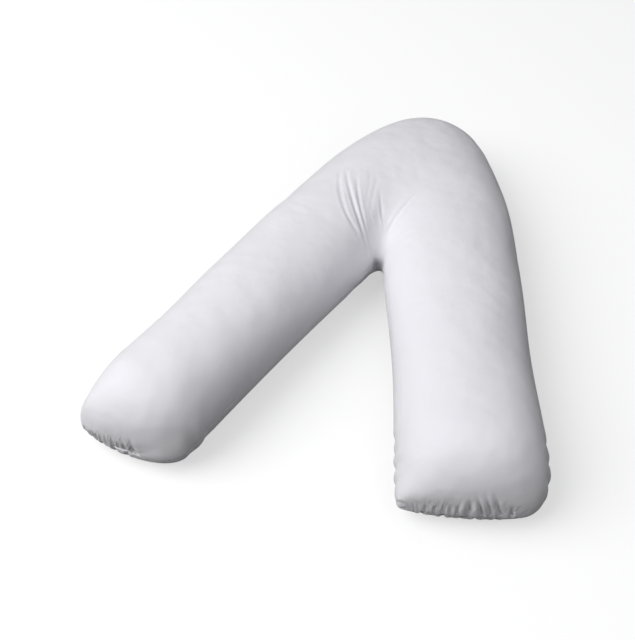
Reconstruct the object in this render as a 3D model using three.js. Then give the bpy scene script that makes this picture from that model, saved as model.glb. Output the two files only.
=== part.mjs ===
// A V shaped bed pillow: one cloth cover of two V shaped panels, sewn all round and firmly filled.
// Millimetres, +Z up. It lies on its back, with the crown towards +Y and the two arms towards -Y.
// The origin is under the middle of the pillow, on the surface that it lies on.
import * as THREE from "three";

// Driving sizes of the filled pillow
const SETTLING = 8; // how far the underside is pressed flat by the surface it lies on
const NOTCH_RADIUS = 11; // of the seam in the notch between the arms
const CROWN_FULLNESS = 0.82; // weight of the crown's conic: 0 is a chord, large is a sharp corner
const SQUARENESS = 2.15; // exponent of the cross section, where 2 is an ellipse
const SEAM_HEIGHT = 0.48; // of the side seams, as a share of the thickness
const END_SEAM_HEIGHT = 0.27; // the end seams droop lower than the side seams
const DROOP_LENGTH = 130; // over which the side seams come down to the end seams
const TOP_CLOSING = 120; // length of an arm's end over which the top comes down to its end seam
const UNDER_CLOSING = 110; // and over which the underside comes up to it
const END_ROUNDNESS = 2.3; // exponent of the closing curve, where 2 is an ellipse
const SEAM_RIDGE = 2; // how far the sewn edge stands proud of the cloth
const SKEW_LENGTH = 200; // of an arm's end over which it becomes askew

// Each arm: which side it is on, how far its inner edge leans out from the middle line, its length from
// the notch to the end seam, its width at the notch and at the end and its thickness, how far its middle
// is drawn in, how much shorter its inner edge is, how far its end seam bulges, and the radii of its two
// end corners in plan.
const ARMS = [
  {
    side: -1, lean: 16.3, length: 617, notchWidth: 243, endWidth: 213, thickness: 190, drawnIn: 3,
    skew: 24, bulge: 8, innerCorner: 88, outerCorner: 24,
  },
  {
    side: 1, lean: 21.6, length: 537, notchWidth: 274, endWidth: 261, thickness: 187, drawnIn: 6,
    skew: 17, bulge: 5, innerCorner: 24, outerCorner: 64,
  },
];

// Pleats that the end seams gather, on the top (face 1) and underneath (face -1): their place in plan from
// the inner seam (0) to the outer seam (1), how deep each is, and how far it runs up the cloth.
const PLEATS = [
  { side: -1, face: 1, place: 0.25, depth: 4, reach: 40 },
  { side: -1, face: 1, place: 0.4, depth: 4, reach: 40 },
  { side: -1, face: 1, place: 0.53, depth: 5, reach: 46 },
  { side: -1, face: 1, place: 0.63, depth: 6, reach: 46 },
  { side: -1, face: 1, place: 0.73, depth: 5, reach: 40 },
  { side: -1, face: 1, place: 0.82, depth: 4, reach: 34 },
  { side: -1, face: 1, place: 0.92, depth: 4, reach: 34 },
  { side: -1, face: -1, place: 0.22, depth: 5, reach: 46 },
  { side: -1, face: -1, place: 0.4, depth: 6, reach: 56 },
  { side: -1, face: -1, place: 0.58, depth: 5, reach: 46 },
  { side: -1, face: -1, place: 0.76, depth: 6, reach: 52 },
  { side: 1, face: 1, place: 0.27, depth: 6, reach: 40 },
  { side: 1, face: 1, place: 0.38, depth: 5, reach: 36 },
  { side: 1, face: 1, place: 0.46, depth: 6, reach: 40 },
  { side: 1, face: 1, place: 0.56, depth: 7, reach: 50 },
  { side: 1, face: 1, place: 0.665, depth: 7, reach: 60 },
  { side: 1, face: 1, place: 0.75, depth: 5, reach: 56 },
  { side: 1, face: 1, place: 0.83, depth: 7, reach: 54 },
  { side: 1, face: 1, place: 0.9, depth: 5, reach: 38 },
  { side: 1, face: -1, place: 0.2, depth: 5, reach: 46 },
  { side: 1, face: -1, place: 0.36, depth: 6, reach: 56 },
  { side: 1, face: -1, place: 0.52, depth: 5, reach: 48 },
  { side: 1, face: -1, place: 0.68, depth: 6, reach: 54 },
  { side: 1, face: -1, place: 0.84, depth: 5, reach: 48 },
];
const PLEAT_PEAK = 16; // from the seam to where a pleat is deepest
const PLEAT_AT_SEAM = 0.35; // share of its depth that is left where it meets the seam
const PLEAT_HALF_WIDTH = 1.6; // in points of a cross section

// Puckers of the side seams: the arm, its inner (-1) or outer (1) edge, the distance from the end,
// and how far the seam is drawn in there.
const PUCKERS = [
  { side: -1, edge: 1, toEnd: 52, depth: 4 },
  { side: -1, edge: -1, toEnd: 70, depth: 4 },
  { side: 1, edge: 1, toEnd: 56, depth: 5 },
  { side: 1, edge: 1, toEnd: 98, depth: 5 },
  { side: 1, edge: -1, toEnd: 66, depth: 3 },
  { side: 1, edge: -1, toEnd: 118, depth: 3 },
];
const PUCKER_HALF_LENGTH = 20;
const PUCKER_SPREAD = 0.6; // sine of the turn from the seam over which a pucker fades out

// Creases that run from the notch up over the top, as arcs in plan from the notch: where each starts,
// the point that it bends towards, where it ends, and how deep it is.
const CREASES = [
  { start: [-39, 4], bend: [-102, 25], end: [-141, 154], depth: 6 },
  { start: [-22, -2], bend: [-80, 48], end: [-125, 149], depth: 8 },
  { start: [-37, 48], bend: [-52, 92], end: [-55, 150], depth: 3 },
  { start: [2, 40], bend: [6, 84], end: [32, 138], depth: 5 },
  { start: [28, 25], bend: [42, 32], end: [60, 46], depth: 2 },
];
const CREASE_HALF_WIDTH = 12;
const CREASE_SAMPLES = 24;
const CREASE_START = 0.15; // share of its rise that a crease already has where it starts
const DIMPLE = { depth: 5, radius: 70 }; // of the top beside the notch, which pulls the cloth down

// Mesh steps
const TURNS = 64; // points round each cross section, a multiple of 4
const END_STEPS = 12; // cross sections over the closing length of an end
const ARM_STEP = 42; // between cross sections along an arm
const CROWN_STEPS = 34; // between the two arms

const radians = THREE.MathUtils.degToRad;
const clamp = THREE.MathUtils.clamp;
const lerp = THREE.MathUtils.lerp;
const smooth = (t) => THREE.MathUtils.smoothstep(t, 0, 1);
const signedPower = (value, power) => Math.sign(value) * Math.abs(value) ** power;

// A soft trough: 1 on its line, 0 at its half width and beyond
function trough(offset, halfWidth) {
  const t = Math.min(Math.abs(offset) / halfWidth, 1);
  return (1 - t * t) ** 2;
}

// Directions of an arm in plan: along it, away from the notch, and outwards across it
function armDirections(arm) {
  const lean = radians(arm.lean);
  return {
    along: new THREE.Vector2(arm.side * Math.sin(lean), -Math.cos(lean)),
    outwards: new THREE.Vector2(arm.side * Math.cos(lean), Math.sin(lean)),
  };
}

// How far a corner of the given radius draws the edge in, at a distance along the arm
function cornerInset(arm, distance, radius) {
  const into = clamp(1 - (arm.length - distance) / radius, 0, 1);
  return 0.9 * radius * (1 - Math.sqrt(1 - into * into));
}

// How full the cloth is at a distance from the notch, where it closes over the given length
function fullness(arm, distance, closing) {
  const closed = clamp(1 - (arm.length - distance) / closing, 0, 1);
  return (1 - closed ** END_ROUNDNESS) ** (1 / END_ROUNDNESS);
}

// The cross section of an arm at a distance from the notch
function armSection(arm, distance) {
  const { along, outwards } = armDirections(arm);
  const share = distance / arm.length;
  const width = lerp(arm.notchWidth, arm.endWidth, share);
  const drawnIn = arm.drawnIn * Math.sin(Math.PI * share) ** 2;
  const inner = NOTCH_RADIUS + drawnIn + cornerInset(arm, distance, arm.innerCorner);
  const outer = NOTCH_RADIUS + width - drawnIn - cornerInset(arm, distance, arm.outerCorner);
  const toEnd = arm.length - distance;
  const askew = smooth(1 - toEnd / SKEW_LENGTH);
  const droop = smooth(1 - toEnd / DROOP_LENGTH);
  return {
    arm,
    toEnd,
    inner: along.clone().multiplyScalar(distance - arm.skew * askew).addScaledVector(outwards, inner),
    outer: along.clone().multiplyScalar(distance).addScaledVector(outwards, outer),
    bulge: along.clone().multiplyScalar(arm.bulge * askew),
    thickness: arm.thickness,
    seamHeight: arm.thickness * lerp(SEAM_HEIGHT, END_SEAM_HEIGHT, droop),
    topFullness: fullness(arm, distance, TOP_CLOSING),
    underFullness: fullness(arm, distance, UNDER_CLOSING),
  };
}

// An arm's cross sections, closer together where the end closes
function armSections(arm) {
  const straight = arm.length - TOP_CLOSING;
  const steps = Math.round(straight / ARM_STEP);
  const sections = [];
  for (let i = 0; i < steps; i++) sections.push(armSection(arm, (straight * i) / steps));
  for (let i = 0; i <= END_STEPS; i++) {
    const turned = (Math.PI / 2) * (i / END_STEPS);
    sections.push(armSection(arm, straight + TOP_CLOSING * Math.sin(turned)));
  }
  return sections;
}

// The crown's outer edge is a conic, tangent to the outer edges of both arms
function crownCurve() {
  const [left, right] = ARMS.map((arm) => armSection(arm, 0).outer);
  const [towardsLeft, towardsRight] = ARMS.map((arm) => {
    const { along, outwards } = armDirections(arm);
    const flare = (arm.endWidth - arm.notchWidth) / arm.length;
    return along.addScaledVector(outwards, flare).normalize().negate();
  });
  const between = right.clone().sub(left);
  const run = between.cross(towardsRight) / towardsLeft.cross(towardsRight);
  const corner = left.clone().addScaledVector(towardsLeft, run);
  return (share) => {
    const weights = [(1 - share) ** 2, 2 * CROWN_FULLNESS * share * (1 - share), share ** 2];
    const total = weights[0] + weights[1] + weights[2];
    return left
      .clone()
      .multiplyScalar(weights[0] / total)
      .addScaledVector(corner, weights[1] / total)
      .addScaledVector(right, weights[2] / total);
  };
}

function crownSections() {
  const edge = crownCurve();
  const [left, right] = ARMS;
  const sections = [];
  for (let i = 1; i < CROWN_STEPS; i++) {
    const share = i / CROWN_STEPS;
    const outer = edge(share);
    const thickness = lerp(left.thickness, right.thickness, smooth(share));
    sections.push({
      inner: outer.clone().setLength(NOTCH_RADIUS),
      outer,
      bulge: new THREE.Vector2(),
      thickness,
      seamHeight: thickness * SEAM_HEIGHT,
      topFullness: 1,
      underFullness: 1,
    });
  }
  return sections;
}

// A point of the smooth surface: turn 0 is the outer seam, half a turn is the inner seam, and the top
// lies between them
function surfacePoint(section, turn) {
  const { inner, outer, bulge, thickness, seamHeight } = section;
  const angle = 2 * Math.PI * turn;
  const sideways = signedPower(Math.cos(angle), 2 / SQUARENESS);
  const upwards = signedPower(Math.sin(angle), 2 / SQUARENESS);
  const plan = inner
    .clone()
    .add(outer)
    .divideScalar(2)
    .addScaledVector(outer.clone().sub(inner), sideways / 2)
    .addScaledVector(bulge, 1 - sideways * sideways);
  const rise =
    upwards > 0 ? (thickness - seamHeight) * section.topFullness : seamHeight * section.underFullness;
  const height = Math.max(seamHeight + upwards * rise, SETTLING) - SETTLING;
  return new THREE.Vector3(plan.x, plan.y, height);
}

// The turn of the top's point at a place in plan from the inner seam (0) to the outer seam (1)
function turnAt(place) {
  return Math.acos(signedPower(2 * place - 1, SQUARENESS / 2)) / (2 * Math.PI);
}

// Depth of the end seam's pleats, by the length of cloth from there to the seam. Each pleat lies on the
// nearest line of points, so that it comes out as a clean fold.
function pleatDepth(section, turn) {
  if (!section.arm || section.toEnd > TOP_CLOSING) return 0;
  const openness = Math.acos(clamp(1 - section.toEnd / TOP_CLOSING, -1, 1));
  let depth = 0;
  for (const pleat of PLEATS) {
    const onTop = pleat.face > 0;
    const rise = onTop ? section.thickness - section.seamHeight : section.seamHeight;
    const clothToSeam = (openness * (TOP_CLOSING + rise)) / 2;
    if (pleat.side !== section.arm.side || clothToSeam > pleat.reach) continue;
    const rising = lerp(PLEAT_AT_SEAM, 1, smooth(clothToSeam / PLEAT_PEAK));
    const fading = 1 - smooth((clothToSeam - PLEAT_PEAK) / (pleat.reach - PLEAT_PEAK));
    const line = Math.round(turnAt(pleat.place) * TURNS);
    const offset = (onTop ? turn : 1 - turn) * TURNS - line;
    depth += pleat.depth * rising * fading * trough(offset, PLEAT_HALF_WIDTH);
  }
  return depth;
}

// How far the side seams are drawn in by their puckers
function puckerDepth(section, turn) {
  if (!section.arm) return 0;
  const edge = Math.cos(2 * Math.PI * turn) > 0 ? 1 : -1;
  const nearSeam = trough(Math.sin(2 * Math.PI * turn), PUCKER_SPREAD);
  let depth = 0;
  for (const pucker of PUCKERS)
    if (pucker.side === section.arm.side && pucker.edge === edge)
      depth += pucker.depth * nearSeam * trough(section.toEnd - pucker.toEnd, PUCKER_HALF_LENGTH);
  return depth;
}

const creaseCurves = CREASES.map((crease) => {
  const ends = [crease.start, crease.bend, crease.end].map((place) => new THREE.Vector2(...place));
  return { depth: crease.depth, points: new THREE.QuadraticBezierCurve(...ends).getPoints(CREASE_SAMPLES) };
});

// Depth of the creases and of the dimple at the notch, for a point of the top in plan from the notch
function notchDepth(plan) {
  let depth = DIMPLE.depth * trough(plan.length(), DIMPLE.radius);
  for (const { depth: creaseDepth, points } of creaseCurves) {
    const distances = points.map((point) => point.distanceTo(plan));
    const nearest = Math.min(...distances);
    const share = distances.indexOf(nearest) / CREASE_SAMPLES;
    const fade = Math.sin(Math.PI * lerp(CREASE_START, 1, share));
    depth += creaseDepth * fade * trough(nearest, CREASE_HALF_WIDTH);
  }
  return depth;
}

// Gentle lumps of the filling under the top
function lumps(x, y) {
  return 2.2 * Math.sin(x / 71 + y / 118) + 1.6 * Math.sin(x / 43 - y / 57 + 1.3) + 1.2 * Math.sin(y / 34);
}

// Pushes each point of the smooth skin in along its normal, by the depth of the folds there. The sewn
// edge stands out a little, and nothing reaches under the surface that the pillow lies on.
function addFolds(geometry, places) {
  geometry.computeVertexNormals();
  const { position, normal } = geometry.attributes;
  const point = new THREE.Vector3();
  const outwards = new THREE.Vector3();
  places.forEach(({ section, turn }, index) => {
    point.fromBufferAttribute(position, index);
    outwards.fromBufferAttribute(normal, index);
    const upwards = Math.max(Math.sin(2 * Math.PI * turn), 0);
    let depth = pleatDepth(section, turn) + puckerDepth(section, turn);
    depth += upwards * (notchDepth(new THREE.Vector2(point.x, point.y)) - lumps(point.x, point.y));
    if (turn === 0 || turn === 0.5) depth -= SEAM_RIDGE;
    point.addScaledVector(outwards, -depth);
    position.setXYZ(index, point.x, point.y, Math.max(point.z, 0));
  });
  geometry.deleteAttribute("normal");
}

// The closed skin: a ring of points for each cross section, with both end rings sewn flat
function pillowGeometry() {
  const [left, right] = ARMS;
  const sections = [...armSections(left).reverse(), ...crownSections(), ...armSections(right)];
  const places = [];
  const positions = [];
  const rings = sections.map((section, row) => {
    const sewn = row === 0 || row === sections.length - 1;
    const ring = [];
    for (let i = 0; i < TURNS; i++) {
      if (sewn && i > TURNS / 2) {
        ring.push(ring[TURNS - i]);
        continue;
      }
      const turn = i / TURNS;
      ring.push(places.length);
      places.push({ section, turn });
      positions.push(...surfacePoint(section, turn).toArray());
    }
    return ring;
  });
  const faces = [];
  const addFace = (a, b, c) => {
    if (a !== b && b !== c && c !== a) faces.push(a, b, c);
  };
  for (let row = 0; row + 1 < rings.length; row++)
    for (let i = 0; i < TURNS; i++) {
      const next = (i + 1) % TURNS;
      const [a, b] = [rings[row][i], rings[row][next]];
      const [c, d] = [rings[row + 1][next], rings[row + 1][i]];
      addFace(a, b, c);
      addFace(a, c, d);
    }
  const geometry = new THREE.BufferGeometry();
  geometry.setAttribute("position", new THREE.Float32BufferAttribute(positions, 3));
  geometry.setIndex(faces);
  addFolds(geometry, places);
  return geometry;
}

// Moves the geometry so that the origin is under the middle of its box
function centreOverOrigin(geometry) {
  geometry.computeBoundingBox();
  const { min, max } = geometry.boundingBox;
  return geometry.translate(-(min.x + max.x) / 2, -(min.y + max.y) / 2, -min.z);
}

const cotton = new THREE.MeshStandardMaterial({ color: 0xf1f0f4, roughness: 0.85, metalness: 0 });

function pillow() {
  const mesh = new THREE.Mesh(centreOverOrigin(pillowGeometry()), cotton);
  mesh.name = "v_pillow";
  return mesh;
}

const part = new THREE.Group();
part.add(pillow());

export default part;
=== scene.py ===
# %% [markdown]
# # A V shaped pillow, step by step
#
# A V shaped pillow is one cloth cover. Two V shaped panels are laid face to face, sewn all round, turned
# right side out, stuffed with fibre and closed. Sewing and stuffing give it its whole character: a round
# crown, arms like full sausages, end seams that gather into little pleats, and creases in the notch
# where the cloth has to turn a tight corner.
#
# We start from the solid part, which fixes the place and the size of everything. It is our frame, and
# the pillow that we make here has to lie in the same space.

import math
from collections import namedtuple

import bmesh
import bpy
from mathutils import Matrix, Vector
from mathutils.kdtree import KDTree


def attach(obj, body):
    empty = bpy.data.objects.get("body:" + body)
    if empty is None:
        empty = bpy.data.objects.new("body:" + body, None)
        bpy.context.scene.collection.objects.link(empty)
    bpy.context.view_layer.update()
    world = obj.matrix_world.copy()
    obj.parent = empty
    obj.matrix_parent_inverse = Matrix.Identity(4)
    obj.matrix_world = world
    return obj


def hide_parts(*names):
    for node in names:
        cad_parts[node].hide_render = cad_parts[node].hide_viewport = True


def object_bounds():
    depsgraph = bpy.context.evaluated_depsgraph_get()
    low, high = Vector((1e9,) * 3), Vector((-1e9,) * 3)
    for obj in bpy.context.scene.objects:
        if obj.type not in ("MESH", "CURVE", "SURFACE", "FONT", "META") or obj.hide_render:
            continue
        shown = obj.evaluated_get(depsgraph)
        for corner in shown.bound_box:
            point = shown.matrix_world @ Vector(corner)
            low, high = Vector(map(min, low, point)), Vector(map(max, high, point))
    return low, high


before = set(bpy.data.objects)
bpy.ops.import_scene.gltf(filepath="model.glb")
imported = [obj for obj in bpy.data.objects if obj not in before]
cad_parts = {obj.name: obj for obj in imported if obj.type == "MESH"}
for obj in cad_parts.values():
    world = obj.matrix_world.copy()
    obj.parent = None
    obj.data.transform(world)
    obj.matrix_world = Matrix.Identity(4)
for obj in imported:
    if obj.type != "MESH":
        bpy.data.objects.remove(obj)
cad_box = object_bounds()
print("solid part:", [[round(x, 3) for x in corner] for corner in cad_box])

# %% [markdown]
# ## Writing finishes
#
# A finish is a little network of shader nodes. Two small classes keep the network readable: Finish adds a
# node from its type, its settings and its inputs, and Value lets us write sums on sockets as we write
# them on numbers, where each operator adds one Math node. The sky is such a network too.

# %% Values and finishes
class Value:
    """A socket of a finish that can be used in sums."""

    def __init__(self, finish, socket):
        self.finish = finish
        self.socket = socket

    def __add__(self, other):
        return self.finish.sum("ADD", self, other)

    def __radd__(self, other):
        return self.finish.sum("ADD", other, self)

    def __sub__(self, other):
        return self.finish.sum("SUBTRACT", self, other)

    def __rsub__(self, other):
        return self.finish.sum("SUBTRACT", other, self)

    def __mul__(self, other):
        return self.finish.sum("MULTIPLY", self, other)

    def __rmul__(self, other):
        return self.finish.sum("MULTIPLY", other, self)

    def __truediv__(self, other):
        return self.finish.sum("DIVIDE", self, other)

    def __rtruediv__(self, other):
        return self.finish.sum("DIVIDE", other, self)

    def __abs__(self):
        return self.finish.sum("ABSOLUTE", self)

    def wave(self):
        """A sine that goes through one whole wave for each unit."""
        return self.finish.sum("SINE", self * math.tau)

    def at_least(self, other):
        return self.finish.sum("MAXIMUM", self, other)


class Finish:
    """A material or a sky that is written down node by node."""

    def __init__(self, name, store=bpy.data.materials):
        self.owner = store.new(name)
        self.owner.use_nodes = True
        self.tree = self.owner.node_tree
        self.tree.nodes.clear()

    def node(self, kind, settings=(), inputs=(), output=0):
        node = self.tree.nodes.new("ShaderNode" + kind)
        for name, setting in dict(settings).items():
            setattr(node, name, setting)
        for name, value in dict(inputs).items():
            if isinstance(value, Value):
                self.tree.links.new(value.socket, node.inputs[name])
            else:
                node.inputs[name].default_value = value
        return Value(self, node.outputs[output])

    def sum(self, operation, *terms):
        return self.node("Math", {"operation": operation}, enumerate(terms))

    def place(self, x, y, z=0.0):
        return self.node("CombineXYZ", {}, {"X": x, "Y": y, "Z": z})

    def noise(self, place, size=1.0, detail=0.0):
        """Soft noise round 0, whose features have the given size."""
        inputs = {"Vector": place, "Scale": 1 / size, "Detail": detail}
        return self.node("TexNoise", {"noise_dimensions": "3D"}, inputs) - 0.5

    def noted(self, name):
        """One of the values that were written down for each point of the mesh."""
        return self.node("Attribute", {"attribute_name": name}, {}, "Fac")

    def fades(self, distance, reach):
        """A mask that is 1 at distance 0 and fades to 0 at the reach."""
        inputs = {"Value": distance, "From Min": 0.0, "From Max": reach, "To Min": 1.0, "To Max": 0.0}
        return self.node("MapRange", {"interpolation_type": "SMOOTHSTEP"}, inputs)

    def between(self, share, one, other):
        """A colour between two colours."""
        inputs = {"Factor": share, 6: one, 7: other}
        return self.node("Mix", {"data_type": "RGBA"}, inputs, 2)

    def end_with(self, shader, ending="OutputMaterial"):
        node = self.tree.nodes.new("ShaderNode" + ending)
        self.tree.links.new(shader.socket, node.inputs["Surface"])
        print(self.owner.name, "has", len(self.tree.nodes), "nodes")


# %% [markdown]
# ## Camera
#
# The photo looks down on the pillow from in front, a little from the right, with a lens of normal
# length. Height, turn and distance were found by laying the outline of the solid over the photo.

# %% Camera
VIEW_TURN = math.radians(21.67)
VIEW_HEIGHT = math.radians(50.11)
VIEW_DISTANCE = 1.7146
AIM = Vector((-0.0835, -0.1372, 0.09))
LENS_MM = 50.53


def from_aim(turn, height, distance):
    """A place seen from the aim: turn 0 is straight in front, and a positive turn goes to the right."""
    away = Vector((math.sin(turn) * math.cos(height), -math.cos(turn) * math.cos(height), math.sin(height)))
    return AIM + away * distance


def look_at(thing, target):
    thing.rotation_euler = (target - thing.location).to_track_quat("-Z", "Y").to_euler()


camera_data = bpy.data.cameras.new("camera")
camera_data.lens = LENS_MM
camera = bpy.data.objects.new("camera", camera_data)
camera.location = from_aim(VIEW_TURN, VIEW_HEIGHT, VIEW_DISTANCE)
look_at(camera, AIM)
bpy.context.scene.collection.objects.link(camera)
bpy.context.scene.camera = camera
print("camera at", [round(x, 2) for x in camera.location])

# %% [markdown]
# ## Light
#
# White on white needs soft light with a direction. A big soft lamp from the upper left models the arms,
# and a weaker one from the right keeps the shaded sides open. A pale sky fills the rest. It fades towards
# the horizon, so the low sides of the arms stay dark, and no light comes from below. The plain colour
# transform is set, so that white cloth comes out as white and not as grey.

# %% Lamps and sky
KEY = dict(turn=-58, height=48, distance=5.2, size=5.2, watts=272)
FILL = dict(turn=60, height=40, distance=6.4, size=6.0, watts=45)
SKY_COLOUR = (0.97, 0.98, 1.0, 1.0)
SKY_STRENGTH = 0.31
SKY_FULL_AT = 0.75


def soft_lamp(name, turn, height, distance, size, watts):
    lamp_data = bpy.data.lights.new(name, "AREA")
    lamp_data.shape = "DISK"
    lamp_data.size = size
    lamp_data.energy = watts
    lamp = bpy.data.objects.new(name, lamp_data)
    lamp.location = from_aim(math.radians(turn), math.radians(height), distance)
    look_at(lamp, AIM)
    bpy.context.scene.collection.objects.link(lamp)
    return lamp


soft_lamp("key_lamp", **KEY)
soft_lamp("fill_lamp", **FILL)

sky = Finish("pale_sky", bpy.data.worlds)
direction = sky.node("TexCoord", {}, {}, "Generated")
upwards = sky.node("SeparateXYZ", {}, {"Vector": direction}, "Z")
above = sky.node("MapRange", {}, {"Value": upwards, "From Min": 0.0, "From Max": SKY_FULL_AT})
glow = sky.node("Background", {}, {"Color": SKY_COLOUR, "Strength": above * SKY_STRENGTH})
sky.end_with(glow, "OutputWorld")
bpy.context.scene.world = sky.owner
bpy.context.scene.view_settings.view_transform = "Standard"
print("key", KEY["watts"], "W, fill", FILL["watts"], "W, sky", SKY_STRENGTH)

# %% Floor
FLOOR_SIZE = 200.0

floor_mesh = bmesh.new()
bmesh.ops.create_grid(floor_mesh, x_segments=1, y_segments=1, size=FLOOR_SIZE / 2)
floor_data = bpy.data.meshes.new("floor")
floor_mesh.to_mesh(floor_data)
floor_mesh.free()
floor = bpy.data.objects.new("floor", floor_data)
bpy.context.scene.collection.objects.link(floor)
floor.visible_diffuse = False
print("floor", FLOOR_SIZE, "m wide")

# %% [markdown]
# ## The pillow's plan
#
# The pillow could be inflated from two flat panels, but a simulation that starts flat pulls the V shut.
# So the filled shape is lofted first: one closed cross section after another, from the end of one arm,
# round the crown, to the end of the other. Each cross section runs from the inner seam to the outer
# seam. These are the sizes that a maker would measure on the filled pillow.

# %% Sizes of the filled pillow
MM = 0.001
NOTCH_RADIUS = 11 * MM
CROWN_FULLNESS = 0.82
SQUARENESS = 2.15
SETTLING = 8 * MM
SEAM_HEIGHT, END_SEAM_HEIGHT, DROOP_LENGTH = 0.48, 0.27, 130 * MM
TOP_CLOSING, UNDER_CLOSING, END_ROUNDNESS = 120 * MM, 110 * MM, 2.3
SKEW_LENGTH = 200 * MM

Arm = namedtuple(
    "Arm",
    "side lean length notch_width end_width thickness drawn_in skew bulge inner_corner outer_corner",
)


def arm_in_mm(side, lean, *sizes):
    return Arm(side, math.radians(lean), *(size * MM for size in sizes))


LEFT = arm_in_mm(-1, 16.3, 617, 243, 213, 190, 3, 24, 8, 88, 24)
RIGHT = arm_in_mm(1, 21.6, 537, 274, 261, 187, 6, 17, 5, 12, 64)
print("arms", round(LEFT.length, 3), "and", round(RIGHT.length, 3), "m from the notch to the end seam")


# %% Small sums
def clamp(x, low=0.0, high=1.0):
    return max(low, min(high, x))


def mix(a, b, share):
    return a + (b - a) * share


def smooth(x):
    x = clamp(x)
    return x * x * (3 - 2 * x)


def signed_power(x, power):
    return math.copysign(abs(x) ** power, x)


def trough(offset, half_width):
    """A soft trough: 1 on its line, 0 at its half width and beyond."""
    t = min(abs(offset) / half_width, 1)
    return (1 - t * t) ** 2


RIDGE_HEIGHT, RIDGE_OFFSET = 0.3, 1.5
FOLD_REACH = RIDGE_OFFSET + 1


def fold(offset, half_width):
    """A trough between two low ridges, as cloth has beside a crease. It ends FOLD_REACH half widths out."""
    ridge = trough(abs(offset) - RIDGE_OFFSET * half_width, half_width)
    return trough(offset, half_width) - RIDGE_HEIGHT * ridge


# %% [markdown]
# ## Cross sections
#
# An arm is described by two directions in plan: along it, and outwards across it. At each distance from
# the notch we ask where the inner and the outer seam are, how high the seams lie, and how full the cloth
# still is. Near the end the fullness goes to nothing, and the top meets the underside in the end seam.

# %% Cross sections of an arm
Section = namedtuple(
    "Section", "arm to_end inner outer bulge thickness seam_height top_fullness under_fullness"
)


def arm_directions(arm):
    along = Vector((arm.side * math.sin(arm.lean), -math.cos(arm.lean)))
    outwards = Vector((arm.side * math.cos(arm.lean), math.sin(arm.lean)))
    return along, outwards


CORNER_ROUNDNESS = 0.9


def corner_inset(to_end, radius):
    into = clamp(1 - to_end / radius)
    return CORNER_ROUNDNESS * radius * (1 - math.sqrt(1 - into * into))


def fullness(to_end, closing):
    closed = clamp(1 - to_end / closing)
    return (1 - closed**END_ROUNDNESS) ** (1 / END_ROUNDNESS)


def arm_section(arm, distance):
    along, outwards = arm_directions(arm)
    share = distance / arm.length
    to_end = arm.length - distance
    width = mix(arm.notch_width, arm.end_width, share)
    drawn_in = arm.drawn_in * math.sin(math.pi * share) ** 2
    inner = NOTCH_RADIUS + drawn_in + corner_inset(to_end, arm.inner_corner)
    outer = NOTCH_RADIUS + width - drawn_in - corner_inset(to_end, arm.outer_corner)
    askew = smooth(1 - to_end / SKEW_LENGTH)
    droop = smooth(1 - to_end / DROOP_LENGTH)
    return Section(
        arm,
        to_end,
        along * (distance - arm.skew * askew) + outwards * inner,
        along * distance + outwards * outer,
        along * arm.bulge * askew,
        arm.thickness,
        arm.thickness * mix(SEAM_HEIGHT, END_SEAM_HEIGHT, droop),
        fullness(to_end, TOP_CLOSING),
        fullness(to_end, UNDER_CLOSING),
    )


# %% [markdown]
# The crown joins the two arms. Its outer edge is one conic curve, tangent to the outer edge of each arm,
# which is the smoothest line that a cutter could draw there. Its inner edge is the little round of the
# notch, so its cross sections spread like a fan.

# %% Cross sections of the crown
CROWN_RINGS = 76


def crown_edge():
    ends = [arm_section(arm, 0).outer for arm in (LEFT, RIGHT)]
    ways = []
    for arm in (LEFT, RIGHT):
        along, outwards = arm_directions(arm)
        flare = (arm.end_width - arm.notch_width) / arm.length
        ways.append(-(along + outwards * flare).normalized())
    between = ends[1] - ends[0]
    run = (between.x * ways[1].y - between.y * ways[1].x) / (ways[0].x * ways[1].y - ways[0].y * ways[1].x)
    corner = ends[0] + ways[0] * run

    def edge(share):
        a, b, c = (1 - share) ** 2, 2 * CROWN_FULLNESS * share * (1 - share), share**2
        return (ends[0] * a + corner * b + ends[1] * c) / (a + b + c)

    return edge


def crown_sections():
    edge = crown_edge()
    made = []
    for i in range(1, CROWN_RINGS):
        share = i / CROWN_RINGS
        outer = edge(share)
        thickness = mix(LEFT.thickness, RIGHT.thickness, smooth(share))
        made.append(
            Section(
                None, math.inf, outer.normalized() * NOTCH_RADIUS, outer, Vector((0, 0)),
                thickness, thickness * SEAM_HEIGHT, 1, 1,
            )
        )
    return made


print("crown reaches", round(crown_edge()(0.5).y, 3), "m above the notch")

# %% [markdown]
# ## Lofting the cover
#
# The cover starts as a flat bmesh grid, with a row for each cross section. Putting every point where its
# cross section says rolls the grid up into a tube, and welding its last column to its first closes it.
# That gives neat quads that run along and across the cloth. Extruding ring after ring would give the same
# shape, but with its edges in another order each time, and a cloth simulation comes out the same only
# when the order is the same. At both ends the top and bottom points of a row lie on each other, so
# merging them sews the end seam.
#
# The rings stand closer together near the notch and near the ends, because the small folds come there.

# %% Points of a cross section
TURNS = 144


def smooth_point(section, turn):
    angle = math.tau * turn
    sideways = signed_power(math.cos(angle), 2 / SQUARENESS)
    upwards = signed_power(math.sin(angle), 2 / SQUARENESS)
    plan = (section.inner + section.outer) / 2 + (section.outer - section.inner) * sideways / 2
    plan += section.bulge * (1 - sideways * sideways)
    if upwards > 0:
        rise = (section.thickness - section.seam_height) * section.top_fullness
    else:
        rise = section.seam_height * section.under_fullness
    height = max(section.seam_height + upwards * rise, SETTLING) - SETTLING
    return Vector((plan.x, plan.y, height))


# %% Rings from one arm's end to the other
END_RINGS = 26
ARM_STEP = 24 * MM
CROWDING = 1.5


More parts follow.
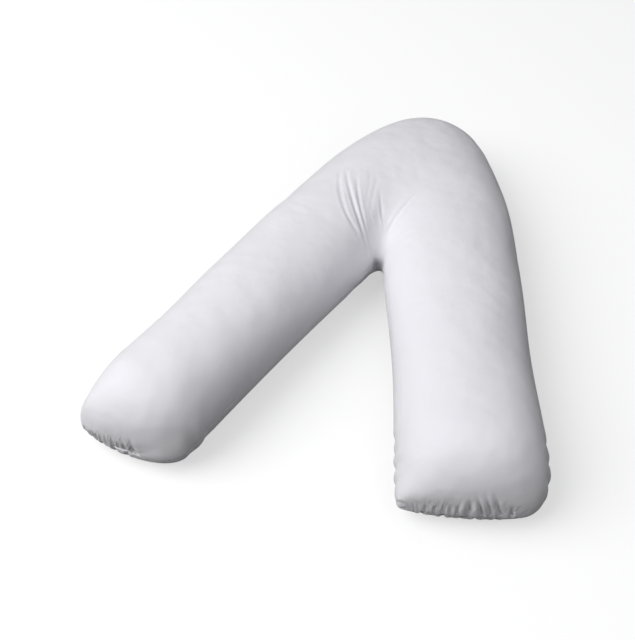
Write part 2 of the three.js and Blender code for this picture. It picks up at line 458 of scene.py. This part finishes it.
def arm_sections(arm):
    straight = arm.length - TOP_CLOSING
    steps = round(straight / ARM_STEP)
    distances = [straight * (i / steps) ** CROWDING for i in range(steps)]
    for i in range(END_RINGS + 1):
        opened = math.pi / 2 * (1 - i / END_RINGS) ** CROWDING
        distances.append(arm.length - TOP_CLOSING * (1 - math.cos(opened)))
    return [arm_section(arm, distance) for distance in distances]


sections = arm_sections(LEFT)[::-1] + crown_sections() + arm_sections(RIGHT)
rings = [[smooth_point(section, i / TURNS) for i in range(TURNS)] for section in sections]
print(len(rings), "rings of", TURNS, "points")


# %% Roll a grid up into a tube
def loft(bm):
    turn_layer = bm.verts.layers.float.new("turn")
    row_layer = bm.verts.layers.float.new("row")
    bmesh.ops.create_grid(bm, x_segments=TURNS, y_segments=len(rings) - 1, size=1)
    points = list(bm.verts)
    rows = [points[first:first + TURNS + 1] for first in range(0, len(points), TURNS + 1)]
    for row, places in enumerate(rings):
        for column, point in enumerate(rows[row]):
            i = column % TURNS
            point.co = places[i]
            point[turn_layer] = i / TURNS
            point[row_layer] = row
    bmesh.ops.weld_verts(bm, targetmap={points[-1]: points[0] for points in rows})


cover = bmesh.new()
loft(cover)
print(len(cover.verts), "points,", len(cover.faces), "faces")

# %% [markdown]
# ## What each point knows
#
# The folds and the weave need to know where a point lies on the cloth. While every point still knows its
# ring and its turn, we write that down: how far it is from the side seam and from the end seam, measured
# over the cloth, how far it is across and along, and whether it is on top. These values survive the
# smoothing later on, because a value halfway between two points is simply their mean.

# %% Distances over the cloth
TOP, UNDER = 1, -1
FAR = 1.0


def half_lengths(places):
    """For each point of a ring, its distance over the cloth from the inner seam."""
    steps = [(b - a).length for a, b in zip(places, places[1:] + places[:1])]
    half = TURNS // 2
    lengths = [0.0] * TURNS
    for i in range(half - 1, -1, -1):
        lengths[i] = lengths[i + 1] + steps[i]
    for i in range(half + 1, TURNS):
        lengths[i] = lengths[i - 1] + steps[i - 1]
    return lengths, lengths[-1] + steps[-1]


def end_seam_distance(section, face):
    """Distance over the round end of the arm, from the end seam up to this cross section."""
    if section.arm is None:
        return FAR
    seam_height = section.thickness * END_SEAM_HEIGHT
    if face == TOP:
        closing, rise = TOP_CLOSING, section.thickness - seam_height
    else:
        closing, rise = UNDER_CLOSING, seam_height
    opened = math.acos(clamp(1 - section.to_end / closing)) * (closing + rise) / 2
    return min(opened + max(section.to_end - closing, 0), FAR)


def lengths_outside():
    outers = [section.outer for section in sections]
    lengths = [0.0]
    for a, b in zip(outers, outers[1:]):
        lengths.append(lengths[-1] + (b - a).length)
    return lengths


from_inner, under_widths = zip(*[half_lengths(places) for places in rings])
outside = lengths_outside()
print("cloth over the top is", round(max(lengths[0] for lengths in from_inner), 3), "m wide at most")
print("outer seam is", round(outside[-1], 2), "m long")


# %% Write the values down
def note_values(bm):
    turn_layer, row_layer = (bm.verts.layers.float[name] for name in ("turn", "row"))
    names = ("up", "across", "to_end", "arm", "side_seam", "end_seam", "length")
    layers = [bm.verts.layers.float.new(name) for name in names]
    for point in bm.verts:
        row, turn = round(point[row_layer]), point[turn_layer]
        section = sections[row]
        up = math.sin(math.tau * turn)
        face = TOP if turn <= 0.5 else UNDER
        i = round(turn * TURNS)
        whole = from_inner[row][0] if face == TOP else under_widths[row]
        inwards = from_inner[row][i]
        values = (
            up,
            (1 + signed_power(math.cos(math.tau * turn), 2 / SQUARENESS)) / 2,
            min(section.to_end, FAR),
            section.arm.side if section.arm else 0,
            min(inwards, whole - inwards),
            end_seam_distance(section, face),
            outside[row],
        )
        for layer, value in zip(layers, values):
            point[layer] = value


note_values(cover)
print("noted", ", ".join(layer.name for layer in cover.verts.layers.float))

# %% [markdown]
# ## Weave directions
#
# Each panel is cut from flat cloth, so its threads run straight across the whole V. The map coordinates
# are the place on that flat panel, in metres. A cross section is laid out flat from its inner seam
# outwards, with its length over the cloth kept.

# %% Map coordinates in metres
def flat_place(row, turn, face):
    section = sections[row]
    i = round(turn * TURNS) % TURNS
    at_outer_seam = i == 0 and face == UNDER
    distance = under_widths[row] if at_outer_seam else from_inner[row][i]
    outwards = (section.outer - section.inner).normalized()
    return section.inner + outwards * distance


def map_cloth(bm):
    turn_layer, row_layer = (bm.verts.layers.float[name] for name in ("turn", "row"))
    weave = bm.loops.layers.uv.new("weave")
    for face in bm.faces:
        side = UNDER if max(point[turn_layer] for point in face.verts) > 0.5 else TOP
        for corner in face.loops:
            corner[weave].uv = flat_place(round(corner.vert[row_layer]), corner.vert[turn_layer], side)


map_cloth(cover)

# %% [markdown]
# ## Sewing
#
# Merging the points that lie on each other sews both end seams. The loft was drawn from the notch, and
# the solid part has its origin under the middle of its box, so the cover is then moved until the middles
# of both boxes agree.

# %% Sew the ends
def sew_ends(bm):
    bmesh.ops.remove_doubles(bm, verts=bm.verts, dist=0.02 * MM)
    bmesh.ops.recalc_face_normals(bm, faces=bm.faces)
    bm.normal_update()


sew_ends(cover)
print("open edges left:", sum(edge.is_boundary for edge in cover.edges))


# %% Bring the cover to the solid's place
def middle(low, high):
    return [(a + b) / 2 for a, b in zip(low, high)]


def box_of(points):
    return [[pick(point[k] for point in points) for k in range(3)] for pick in (min, max)]


def rounded(box):
    return [[round(x, 3) for x in corner] for corner in box]


wanted = middle(*cad_box)
loft_box = box_of([point.co for point in cover.verts])
found = middle(*loft_box)
shift = Vector((wanted[0] - found[0], wanted[1] - found[1], 0))
bmesh.ops.translate(cover, verts=cover.verts, vec=shift)
notch = shift.xy
pillow_data = bpy.data.meshes.new("pillow_cover")
cover.to_mesh(pillow_data)
cover.free()
pillow = bpy.data.objects.new("pillow_cover", pillow_data)
bpy.context.scene.collection.objects.link(pillow)
print("notch at", [round(x, 4) for x in notch], "cover", rounded(loft_box))

# %% [markdown]
# ## Letting the cloth settle
#
# A loft is too regular for cloth, so the cover is handed to the cloth simulation for a moment. Air
# pressure stands for the filling. The thread of a gathered seam is shorter than the cloth, so the cloth
# springs shrink at the end seams, and the cloth beside them has to buckle. At the notch the cloth has
# spare length instead, so there the springs grow. Where the pillow lies on the floor it is pinned, and
# it is held at the notch.
#
# No point may move far, because the pillow has to keep its measured outline. Of each move only the part
# in or out and the part up or down is kept: sliding along the cloth would only bunch the points.

# %% Which points are held, gathered or slack
GATHER_REACH = 16 * MM
SLACK_RADIUS = 190 * MM
SLACK_HEIGHT = 60 * MM
HELD_RADIUS = 55 * MM
HELD_LEAST, HELD_AT_NOTCH = 0.02, 0.7
ON_FLOOR = 0.4 * MM
GATHERED, SLACK = 0.07, 0.01


def share_group(piece, name, share_of):
    group = piece.vertex_groups.new(name=name)
    for point in piece.data.vertices:
        share = share_of(point)
        if share > 0.001:
            group.add([point.index], share, "REPLACE")
    return group.name


end_distance = [value.value for value in pillow_data.attributes["end_seam"].data]


def from_notch(point):
    return (point.co.xy - notch).length


def held_share(point):
    if point.co.z < ON_FLOOR:
        return 1.0
    return max(HELD_LEAST, HELD_AT_NOTCH * trough(from_notch(point), HELD_RADIUS))


def slack_share(point):
    return smooth(point.co.z / SLACK_HEIGHT) * trough(from_notch(point), SLACK_RADIUS)


def gathered_share(point):
    """0 where the cloth has the most spare length, 1 where it is gathered most."""
    neither = SLACK / (SLACK + GATHERED)
    near_end = clamp(1 - end_distance[point.index] / GATHER_REACH)
    return mix(neither * (1 - slack_share(point)), 1, near_end)


# %% Simulate the cloth
SETTLE_FRAMES = 20
MOST_MOVE = 2.5 * MM
PRESSURE = 15


def settle(piece):
    cloth = piece.modifiers.new("settle", "CLOTH")
    cloth.settings.quality = 6
    cloth.settings.mass = 0.2
    cloth.settings.tension_stiffness = 12
    cloth.settings.compression_stiffness = 12
    cloth.settings.shear_stiffness = 4
    cloth.settings.bending_stiffness = 0.05
    cloth.settings.use_pressure = True
    cloth.settings.uniform_pressure_force = PRESSURE
    cloth.settings.effector_weights.gravity = 0
    cloth.settings.vertex_group_mass = share_group(piece, "held", held_share)
    cloth.settings.pin_stiffness = 1
    cloth.settings.vertex_group_shrink = share_group(piece, "gathered", gathered_share)
    cloth.settings.shrink_min = -SLACK
    cloth.settings.shrink_max = GATHERED
    cloth.collision_settings.use_collision = False
    cloth.point_cache.frame_start = 1
    cloth.point_cache.frame_end = SETTLE_FRAMES
    for number in range(1, SETTLE_FRAMES + 1):
        bpy.context.scene.frame_set(number)
    settled = piece.evaluated_get(bpy.context.evaluated_depsgraph_get()).data
    moves = [there.co - here.co for here, there in zip(piece.data.vertices, settled.vertices)]
    piece.modifiers.remove(cloth)
    bpy.context.scene.frame_set(1)
    return moves


def take_up(piece, moves):
    """Moves each point in or out and up or down as the cloth did, less the swelling of the whole pillow."""
    free = [point for point in piece.data.vertices if point.co.z > ON_FLOOR]
    swelling = sum(moves[point.index].dot(point.normal) for point in free) / len(free)
    normals = [point.normal.copy() for point in free]
    for point, normal in zip(free, normals):
        outwards = moves[point.index].dot(normal)
        sliding = moves[point.index] - normal * outwards
        move = normal * (outwards - swelling) + Vector((0, 0, sliding.z))
        point.co += move.normalized() * (MOST_MOVE * math.tanh(move.length / MOST_MOVE))
        point.co.z = max(point.co.z, 0)
    return swelling


cloth_moves = settle(pillow)
lengths = [move.length for move in cloth_moves]
swelling = take_up(pillow, cloth_moves)
print("cloth moved", round(sum(lengths) / len(lengths) / MM, 1), "mm on average, swelling",
      round(swelling / MM, 1), "mm, box", rounded(box_of([point.co for point in pillow_data.vertices])))

# %% [markdown]
# ## Finer cloth
#
# The sharp folds need more points than the simulation did. One Subdivision Surface step is applied now,
# which rounds the cloth and cuts each face in four.

# %% Cut each face in four
def cut_in_four(piece):
    finer = piece.modifiers.new("finer", "SUBSURF")
    finer.levels = finer.render_levels = 1
    evaluated = piece.evaluated_get(bpy.context.evaluated_depsgraph_get())
    mesh = bpy.data.meshes.new_from_object(evaluated)
    piece.modifiers.remove(finer)
    piece.vertex_groups.clear()
    return mesh


coarse_data = pillow_data
pillow_data = cut_in_four(pillow)
pillow.data = pillow_data
bpy.data.meshes.remove(coarse_data)
pillow_data.name = "pillow_cover"
print(len(pillow_data.polygons), "faces")

# %% [markdown]
# ## Folds
#
# Three kinds of fold are laid in one by one, where the photo shows them. The end seams gather the cloth
# into pleats. The side seams pucker a little near the corners. Creases run from the notch up over the
# left of the crown, because there the cloth has to turn a tight corner.
#
# A pleat is given by its place along the end seam, from 0 at the inner corner to 1 at the outer corner,
# and by its depth, reach and half width in millimetres. It runs up from the seam, and its lean says how
# far it moves inwards for each millimetre up.

# %% Pleats at the end seams
Pleat = namedtuple("Pleat", "arm face place depth reach width lean")
PLEAT_PEAK = 11 * MM
PLEAT_AT_SEAM = 0.3
PLEATS = [
    Pleat(RIGHT, TOP, 0.20, 1.2, 26, 4.5, 0.0),
    Pleat(RIGHT, TOP, 0.28, 3.0, 22, 3.5, 0.1),
    Pleat(RIGHT, TOP, 0.36, 2.2, 26, 3.2, 0.15),
    Pleat(RIGHT, TOP, 0.415, 2.2, 30, 3.2, 0.1),
    Pleat(RIGHT, TOP, 0.48, 2.6, 28, 3.5, 0.15),
    Pleat(RIGHT, TOP, 0.575, 5.5, 42, 7.0, 0.1),
    Pleat(RIGHT, TOP, 0.70, 6.0, 52, 4.5, 0.4),
    Pleat(RIGHT, TOP, 0.77, 4.0, 60, 5.0, 0.35),
    Pleat(RIGHT, TOP, 0.86, 5.0, 66, 5.5, 0.4),
    Pleat(RIGHT, TOP, 0.94, 4.5, 38, 4.5, 0.1),
    Pleat(LEFT, TOP, 0.95, 3.0, 18, 3.5, 0.0),
    Pleat(LEFT, TOP, 0.80, 2.5, 17, 3.2, 0.0),
    Pleat(LEFT, TOP, 0.74, 3.0, 19, 3.2, 0.0),
    Pleat(LEFT, TOP, 0.665, 2.2, 19, 3.4, 0.0),
    Pleat(LEFT, TOP, 0.585, 1.4, 22, 4.0, 0.0),
    Pleat(LEFT, TOP, 0.49, 0.9, 20, 4.5, 0.0),
    Pleat(LEFT, TOP, 0.37, 1.8, 28, 4.5, 0.0),
    Pleat(LEFT, TOP, 0.29, 1.4, 24, 4.0, 0.1),
    Pleat(LEFT, TOP, 0.18, 1.8, 32, 5.0, 0.0),
    Pleat(LEFT, TOP, 0.03, 2.0, 60, 7.0, 0.0),
    Pleat(RIGHT, UNDER, 0.18, 3.0, 36, 5.0, 0.1),
    Pleat(RIGHT, UNDER, 0.34, 4.0, 44, 5.5, -0.2),
    Pleat(RIGHT, UNDER, 0.52, 3.0, 30, 4.5, 0.1),
    Pleat(RIGHT, UNDER, 0.66, 4.0, 46, 6.0, 0.2),
    Pleat(RIGHT, UNDER, 0.84, 3.0, 36, 5.0, 0.3),
    Pleat(LEFT, UNDER, 0.15, 3.0, 40, 5.5, -0.2),
    Pleat(LEFT, UNDER, 0.41, 4.0, 44, 6.0, 0.1),
    Pleat(LEFT, UNDER, 0.62, 3.0, 30, 4.5, 0.0),
    Pleat(LEFT, UNDER, 0.85, 3.0, 40, 5.5, 0.2),
]


def seam_place(arm, share):
    """How far out from the notch's edge a place on the end seam lies."""
    section = arm_section(arm, arm.length)
    outwards = arm_directions(arm)[1]
    return mix(section.inner.dot(outwards), section.outer.dot(outwards), share)


def pleat_depth(arm, face, out, to_seam):
    depth = 0
    for pleat in PLEATS:
        reach = pleat.reach * MM
        if pleat.arm is not arm or pleat.face != face or to_seam > reach:
            continue
        rising = mix(PLEAT_AT_SEAM, 1, smooth(to_seam / PLEAT_PEAK))
        fading = 1 - smooth((to_seam - PLEAT_PEAK) / (reach - PLEAT_PEAK))
        offset = out - seam_place(arm, pleat.place) + pleat.lean * to_seam
        depth += pleat.depth * MM * rising * fading * fold(offset, pleat.width * MM)
    return depth


print(len(PLEATS), "pleats")

# %% Puckers of the side seams
Pucker = namedtuple("Pucker", "arm edge to_end depth half_length")
OUTER, INNER = 1, -1
PUCKERS = [
    Pucker(RIGHT, OUTER, 49, 4.5, 9),
    Pucker(RIGHT, OUTER, 76, 6.5, 9),
    Pucker(RIGHT, OUTER, 103, 3, 12),
    Pucker(RIGHT, INNER, 40, 2, 10),
    Pucker(RIGHT, INNER, 66, 3, 12),
    Pucker(RIGHT, INNER, 94, 2, 12),
    Pucker(RIGHT, INNER, 118, 2.5, 12),
    Pucker(LEFT, OUTER, 49, 3.5, 15),
    Pucker(LEFT, INNER, 70, 3, 18),
    Pucker(LEFT, INNER, 112, 2, 14),
]
PUCKER_SPREAD = 60 * MM


def pucker_depth(arm, across, to_end, to_side):
    edge = OUTER if across > 0.5 else INNER
    depth = 0
    for pucker in PUCKERS:
        if pucker.arm is arm and pucker.edge == edge:
            along = to_end - pucker.to_end * MM
            depth += pucker.depth * MM * fold(along, pucker.half_length * MM)
    return depth * trough(to_side, PUCKER_SPREAD)


print(len(PUCKERS), "puckers")

# %% [markdown]
# A crease is a bent line in plan, from the notch outwards, in millimetres. For each point of the cloth we
# look up the nearest point of the line, and a tree of the line's points answers that quickly.

# %% Creases at the notch
Crease = namedtuple("Crease", "start bend end depth width")
CREASES = [
    Crease((-39, 4), (-102, 25), (-141, 154), 2.2, 4.5),
    Crease((-12, -8), (-78, 44), (-125, 149), 3.2, 4.2),
    Crease((-34, 24), (-72, 68), (-98, 139), 1.6, 4),
    Crease((-50, 60), (-60, 105), (-76, 160), 0.4, 5),
    Crease((-37, 48), (-52, 92), (-55, 150), 0.5, 5),
    Crease((2, 40), (6, 84), (32, 138), 1.1, 5),
    Crease((28, 25), (42, 32), (60, 46), 1.2, 4.5),
    Crease((44, 8), (56, 16), (72, 30), 1.2, 4.5),
    Crease((66, -18), (76, -6), (90, 10), 1.0, 4.5),
    Crease((90, -42), (95, -22), (108, -4), 0.9, 5),
    Crease((-203, 15), (-177, 0), (-150, -10), 1.6, 6),
    Crease((-190, 30), (-170, 18), (-146, 10), 1.0, 5),
]
CREASE_STEPS = 60
CREASE_MARGIN = 10 * MM
DIMPLE_DEPTH, DIMPLE_RADIUS = 4.5 * MM, 70 * MM


def crease_tree(crease):
    start, bend, end = (Vector(place) * MM for place in (crease.start, crease.bend, crease.end))
    tree = KDTree(CREASE_STEPS + 1)
    for i in range(CREASE_STEPS + 1):
        share = i / CREASE_STEPS
        place = start * (1 - share) ** 2 + bend * 2 * share * (1 - share) + end * share**2
        tree.insert((*place, 0), i)
    tree.balance()
    return tree


crease_trees = [(crease, crease_tree(crease)) for crease in CREASES]
crease_reach = CREASE_MARGIN + max(Vector(crease.end).length for crease in CREASES) * MM


def notch_depth(plan):
    """How far the cloth is pressed in at a place in plan, measured from the notch."""
    depth = DIMPLE_DEPTH * trough(plan.length, DIMPLE_RADIUS)
    if plan.length > crease_reach:
        return depth
    for crease, tree in crease_trees:
        _, index, distance = tree.find((*plan, 0))
        if distance < FOLD_REACH * crease.width * MM:
            strength = 1 - (2 * index / CREASE_STEPS - 1) ** 4
            depth += crease.depth * MM * strength * fold(distance, crease.width * MM)
    return depth


def lumps(x, y):
    """Gentle lumps of the filling under the top."""
    x, y = x / MM, y / MM
    return MM * (
        1.3 * math.sin(x / 71 + y / 118) + 1.0 * math.sin(x / 43 - y / 57 + 1.3) + 0.7 * math.sin(y / 34)
    )


print(len(CREASES), "creases")


# %% Lay in the folds
ON_AN_ARM = 0.75
TOP_FADE = 0.5


def lay_in_folds(bm):
    names = ("up", "across", "to_end", "arm", "side_seam", "end_seam")
    layers = [bm.verts.layers.float[name] for name in names]
    moves = []
    for point in bm.verts:
        up, across, to_end, side, to_side, to_seam = (point[layer] for layer in layers)
        depth = 0
        if abs(side) > ON_AN_ARM:
            arm = RIGHT if side > 0 else LEFT
            face = TOP if up >= 0 else UNDER
            out = (point.co.xy - notch).dot(arm_directions(arm)[1])
            depth += pleat_depth(arm, face, out, to_seam)
            depth += pucker_depth(arm, across, to_end, to_side)
        if up > 0:
            depth += smooth(up / TOP_FADE) * (notch_depth(point.co.xy - notch) - lumps(*point.co.xy))
        moves.append((point, point.co - point.normal * depth))
    for point, place in moves:
        point.co = place
        point.co.z = max(point.co.z, 0)
    bm.normal_update()


cover = bmesh.new()
cover.from_mesh(pillow_data)
lay_in_folds(cover)
print("cover with folds", rounded(box_of([point.co for point in cover.verts])))

# %% [markdown]
# ## The seam
#
# The two panels meet in a turned seam: the stitches are inside, and outside there is only a narrow groove
# between two soft lips. A bevel would tangle where the pleats meet the seam, so the sewn points are simply
# pushed in, and their neighbours stand a little proud.

# %% Press the seam in
SEAM_DEPTH = 2.4 * MM
SEAM_LIP = 0.4 * MM


def sewn_points(bm):
    side_layer, end_layer = (bm.verts.layers.float[name] for name in ("side_seam", "end_seam"))
    return {point for point in bm.verts if min(point[side_layer], point[end_layer]) < 0.01 * MM}


def press_seam(bm):
    sewn = sewn_points(bm)
    lips = {edge.other_vert(point) for point in sewn for edge in point.link_edges} - sewn
    for points, height in ((sewn, -SEAM_DEPTH), (lips, SEAM_LIP)):
        for point in points:
            point.co += point.normal * height
            point.co.z = max(point.co.z, 0)
    bm.normal_update()
    edges = {edge for point in sewn for edge in point.link_edges if edge.other_vert(point) in sewn}
    return sum(edge.calc_length() for edge in edges)


print("seam", round(press_seam(cover), 2), "m long")
for face in cover.faces:
    face.smooth = True
bmesh.ops.recalc_face_normals(cover, faces=cover.faces)
cover.to_mesh(pillow_data)
cover.free()
print(sum(len(face.vertices) - 2 for face in pillow_data.polygons), "triangles")

# %% [markdown]
# ## White cotton
#
# The cover is plain white cotton with a matt, slightly hairy surface. Its thread is about half a
# millimetre thick. In a plain weave each thread goes over one crossing thread and under the next, so the
# height of the cloth is the higher of two rows of ridges that take turns. Real yarn is uneven, so the
# ridges wander and swell a little.
#
# Larger relief comes on top: soft wrinkles everywhere, fine gathers beside the end seams, and small
# ripples beside the side seams. All heights are in metres, and one Bump node turns their sum into relief.

# %% Relief of the cotton
cotton = Finish("white_cotton")
THREAD_PITCH = 1.0 * MM
THREAD_RELIEF = 0.16 * MM
SLUB_RELIEF = 0.10 * MM
SLUB_WIDTH = 1.6 * MM


def weave_relief():
    flat = cotton.node("UVMap", {"uv_map": "weave"})
    u, v = (cotton.node("SeparateXYZ", {}, {"Vector": flat}, axis) for axis in ("X", "Y"))
    wander = 0.35 * THREAD_PITCH
    warp = ((u + wander * cotton.noise(flat, 9 * MM)) / (2 * THREAD_PITCH)).wave()
    weft = ((v + wander * cotton.noise(flat, 7 * MM)) / (2 * THREAD_PITCH)).wave()
    both = warp * weft
    threads = (abs(warp) + both).at_least(abs(weft) - both)
    warp_slubs = cotton.noise(cotton.place(u / SLUB_WIDTH, v / (22 * MM)))
    weft_slubs = cotton.noise(cotton.place(u / (26 * MM), v / SLUB_WIDTH, 7.0))
    return threads * (THREAD_RELIEF / 2) + (warp_slubs + weft_slubs) * SLUB_RELIEF


def wrinkle_relief():
    place = cotton.node("TexCoord", {}, {}, "Object")
    return cotton.noise(place, 60 * MM, 1.0) * (4.0 * MM) + cotton.noise(place, 22 * MM, 1.0) * (0.9 * MM)


def seam_relief():
    length, across = cotton.noted("length"), cotton.noted("across")
    side, end = cotton.noted("side_seam"), cotton.noted("end_seam")
    ripples = cotton.noise(cotton.place(length / (9 * MM), side / (30 * MM)), 1.0, 1.0)
    gathers = cotton.noise(cotton.place(across / 0.03, end / (50 * MM), 3.0), 1.0, 1.0)
    ripples_fade, gathers_fade = cotton.fades(side, 26 * MM), cotton.fades(end, 55 * MM)
    return ripples * ripples_fade * (2.6 * MM) + gathers * gathers_fade * (3.0 * MM)


height = weave_relief() + wrinkle_relief() + seam_relief()
relief = cotton.node("Bump", {}, {"Strength": 1.0, "Distance": 1.0, "Height": height})

# %% Colour of the cotton
CLEAN, WORN = (0.865, 0.86, 0.905, 1.0), (0.84, 0.835, 0.87, 1.0)
# The grey along the side seams is painted shade: the seam groove is coloured darker, as shadow would fall
# in it.
PAINTED_SEAM_SHADE = (0.74, 0.74, 0.75, 1.0)
SHEEN = 0.15


def cotton_colour():
    place = cotton.node("TexCoord", {}, {}, "Object")
    patches = cotton.noise(place, 180 * MM, 2.0) + 0.5
    cloth = cotton.between(patches, CLEAN, WORN)
    # Within 1.5 mm of the side seams the cloth is painted towards grey, a painted shade line in the seam
    # groove.
    return cotton.between(cotton.fades(cotton.noted("side_seam"), 1.5 * MM), cloth, PAINTED_SEAM_SHADE)


def cotton_roughness():
    place = cotton.node("TexCoord", {}, {}, "Object")
    return 0.88 + 0.1 * cotton.noise(place, 40 * MM, 2.0)


cotton.end_with(cotton.node("BsdfPrincipled", {}, {
    "Base Color": cotton_colour(),
    "Roughness": cotton_roughness(),
    "Specular IOR Level": 0.25,
    "Sheen Weight": SHEEN,
    "Sheen Roughness": 0.6,
    "Normal": relief,
}))
pillow_data.materials.clear()
pillow_data.materials.append(cotton.owner)

# %% [markdown]
# ## Floor
#
# The floor is a matt pale board. It glows, as a backlit table for product photos does, so that it stays
# paler than the white cloth. Its light doesn't reach the cloth: that keeps the undersides dark, and the
# round of the arms shows.

# %% Floor finish
board = Finish("white_board")
board.end_with(board.node("BsdfPrincipled", {}, {
    "Base Color": (0.5, 0.5, 0.5, 1.0),
    "Roughness": 0.9,
    "Specular IOR Level": 0.1,
    "Emission Color": (1.0, 1.0, 1.0, 1.0),
    "Emission Strength": 0.56,
}))
floor_data.materials.append(board.owner)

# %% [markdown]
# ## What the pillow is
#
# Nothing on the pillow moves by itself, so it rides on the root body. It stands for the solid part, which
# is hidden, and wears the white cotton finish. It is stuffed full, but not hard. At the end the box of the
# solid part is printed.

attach(pillow, "root")
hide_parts("v_pillow")

# %% Print the solid's box
print("solid part", rounded(cad_box))
